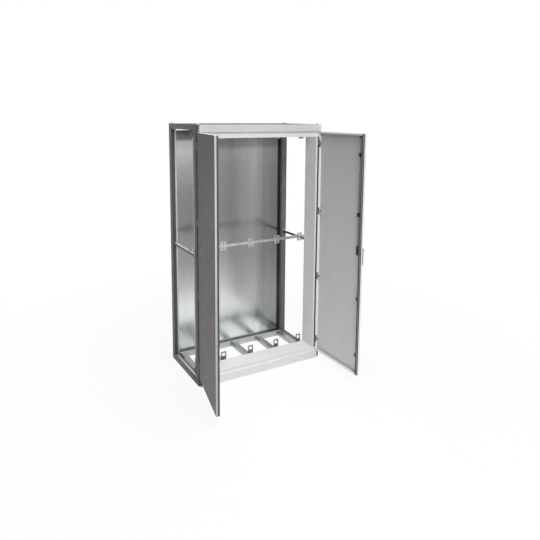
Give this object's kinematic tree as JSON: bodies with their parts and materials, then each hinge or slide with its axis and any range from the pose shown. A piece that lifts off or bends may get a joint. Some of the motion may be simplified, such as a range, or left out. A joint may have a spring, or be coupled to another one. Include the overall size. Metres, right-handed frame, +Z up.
{
  "type": "open-sided floor-standing cabinet with two doors",
  "caption": "Tall open-sided steel cabinet frame with a rear panel, white front trim, inner mounting rails and two hinged doors standing open.",
  "frame": {"origin": "on the floor, at the middle of the four floor bolt holes", "axes": "+Z up, -Y towards the front, +X to the right seen from the front"},
  "size_m": [1.2415, 1.1311, 2.01],
  "materials": {
    "frame_paint": "satin grey paint",
    "trim_paint": "satin white paint",
    "door_paint": "satin light grey paint",
    "panel_steel": "zinc coated sheet",
    "zinc": "zinc plated",
    "handle_grey": "satin grey",
    "black_plastic": "matt black"
  },
  "bodies": {
    "cabinet": {"post_front_left": "frame_paint", "post_front_right": "frame_paint", "post_rear_left": "frame_paint", "post_rear_right": "frame_paint", "top_beam_front": "frame_paint", "top_beam_rear": "frame_paint", "top_beam_left": "frame_paint", "top_beam_right": "frame_paint", "base_beam_front": "frame_paint", "base_beam_rear": "frame_paint", "base_beam_left": "frame_paint", "base_beam_right": "frame_paint", "corner_bolts": "zinc", "rear_panel": "panel_steel", "fascia": "trim_paint", "sill": "trim_paint", "band_caps": "black_plastic", "stile_left": "trim_paint", "stile_right": "trim_paint", "linings": "trim_paint", "lining_edges": "trim_paint", "side_bar_left": "zinc", "side_bar_right": "zinc", "cross_rail": "zinc", "rail_plates": "zinc", "floor_rails": "zinc", "floor_clips": "zinc", "roof_rails": "zinc", "roof_clips": "zinc", "hinge_arms_left": "zinc", "hinge_arms_right": "zinc"},
    "left_door": {"left_leaf": "door_paint", "left_rim_ends": "door_paint", "left_rim_sides": "door_paint", "left_hinge_leaves": "zinc"},
    "right_door": {"right_leaf": "door_paint", "right_rim_ends": "door_paint", "right_rim_sides": "door_paint", "right_hinge_leaves": "zinc", "lock_case": "black_plastic", "rod_guides": "black_plastic", "handle_plate": "handle_grey"},
    "handle": {"handle_lever": "handle_grey", "lock_spindle": "zinc"},
    "upper_rod": {"rod_upper": "zinc"},
    "lower_rod": {"rod_lower": "zinc"}
  },
  "joints": [
    {"name": "left_door_hinge", "type": "hinge", "parent": "cabinet", "child": "left_door", "pos_m": [-0.538, -0.295, 1], "axis": [0, 0, -1], "range_deg": [-101, 9]},
    {"name": "right_door_hinge", "type": "hinge", "parent": "cabinet", "child": "right_door", "pos_m": [0.538, -0.295, 1], "axis": [0, 0, 1], "range_deg": [-91, 19]},
    {"name": "handle_turn", "type": "hinge", "parent": "right_door", "child": "handle", "pos_m": [0.55776, -0.79673, 1.0565], "axis": [0.9998, 0.0175, 0], "range_deg": [0, 90]},
    {"name": "rod_upper_slide", "type": "slide", "parent": "right_door", "child": "upper_rod", "axis": [0, 0, 1], "range_m": [0, 0.01006]},
    {"name": "rod_lower_slide", "type": "slide", "parent": "right_door", "child": "lower_rod", "axis": [0, 0, -1], "range_m": [0, 0.01006]}
  ],
  "couplings": [
    {"joint": "rod_upper_slide", "follows": "handle_turn", "m_per_rad": 0.0064},
    {"joint": "rod_lower_slide", "follows": "handle_turn", "m_per_rad": 0.0064}
  ]
}
